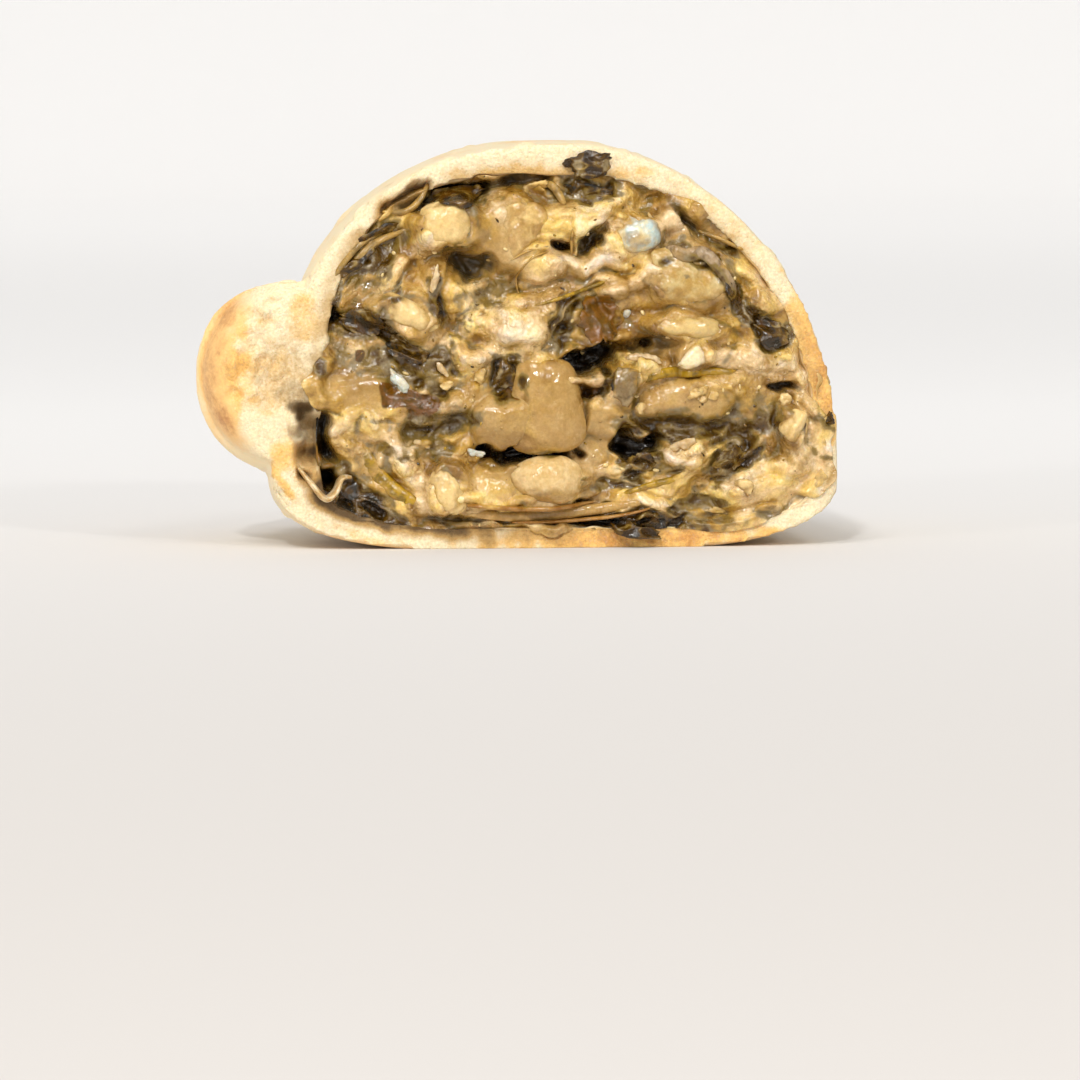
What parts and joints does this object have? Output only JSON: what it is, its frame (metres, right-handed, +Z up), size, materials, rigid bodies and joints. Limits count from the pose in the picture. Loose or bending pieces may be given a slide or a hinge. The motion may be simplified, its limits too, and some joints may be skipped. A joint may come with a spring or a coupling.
{
  "type": "empanada half",
  "caption": "Baked half-moon pasty cut across its middle: dough shell with a rope-crimped edge around a creamy leaf, onion and cheese filling.",
  "frame": {"origin": "on the surface that the half rests on, at the middle of the whole width of the cut face, 24 mm behind the cut", "axes": "+X along the cut face, from the crimp towards the smooth fold, which is the longest side; -Y the way the cut face looks; +Z up"},
  "size_m": [0.0639, 0.0531, 0.0403],
  "materials": {
    "dough": "baked dough, pale at the cut and golden brown outside",
    "filling": "wet creamy sauce with dark leaves",
    "onion": "soft cooked onion, wet",
    "cheese": "soft pale curd, wet",
    "egg": "firm bluish white crumb, wet",
    "leaf": "dark cooked leaf, wet"
  },
  "bodies": {
    "root": {"crust": "dough", "filling": "filling", "onion_petal": "onion", "onion_roll": "onion", "onion_sheet": "onion", "cheese_bean": "cheese", "herb_curd": "cheese", "tan_curd": "cheese", "wedge_curd": "cheese", "rim_curd": "cheese", "corner_curd": "cheese", "white_curd": "cheese", "egg_cube": "egg", "wet_leaf": "leaf", "rim_leaf": "leaf"}
  },
  "joints": []
}
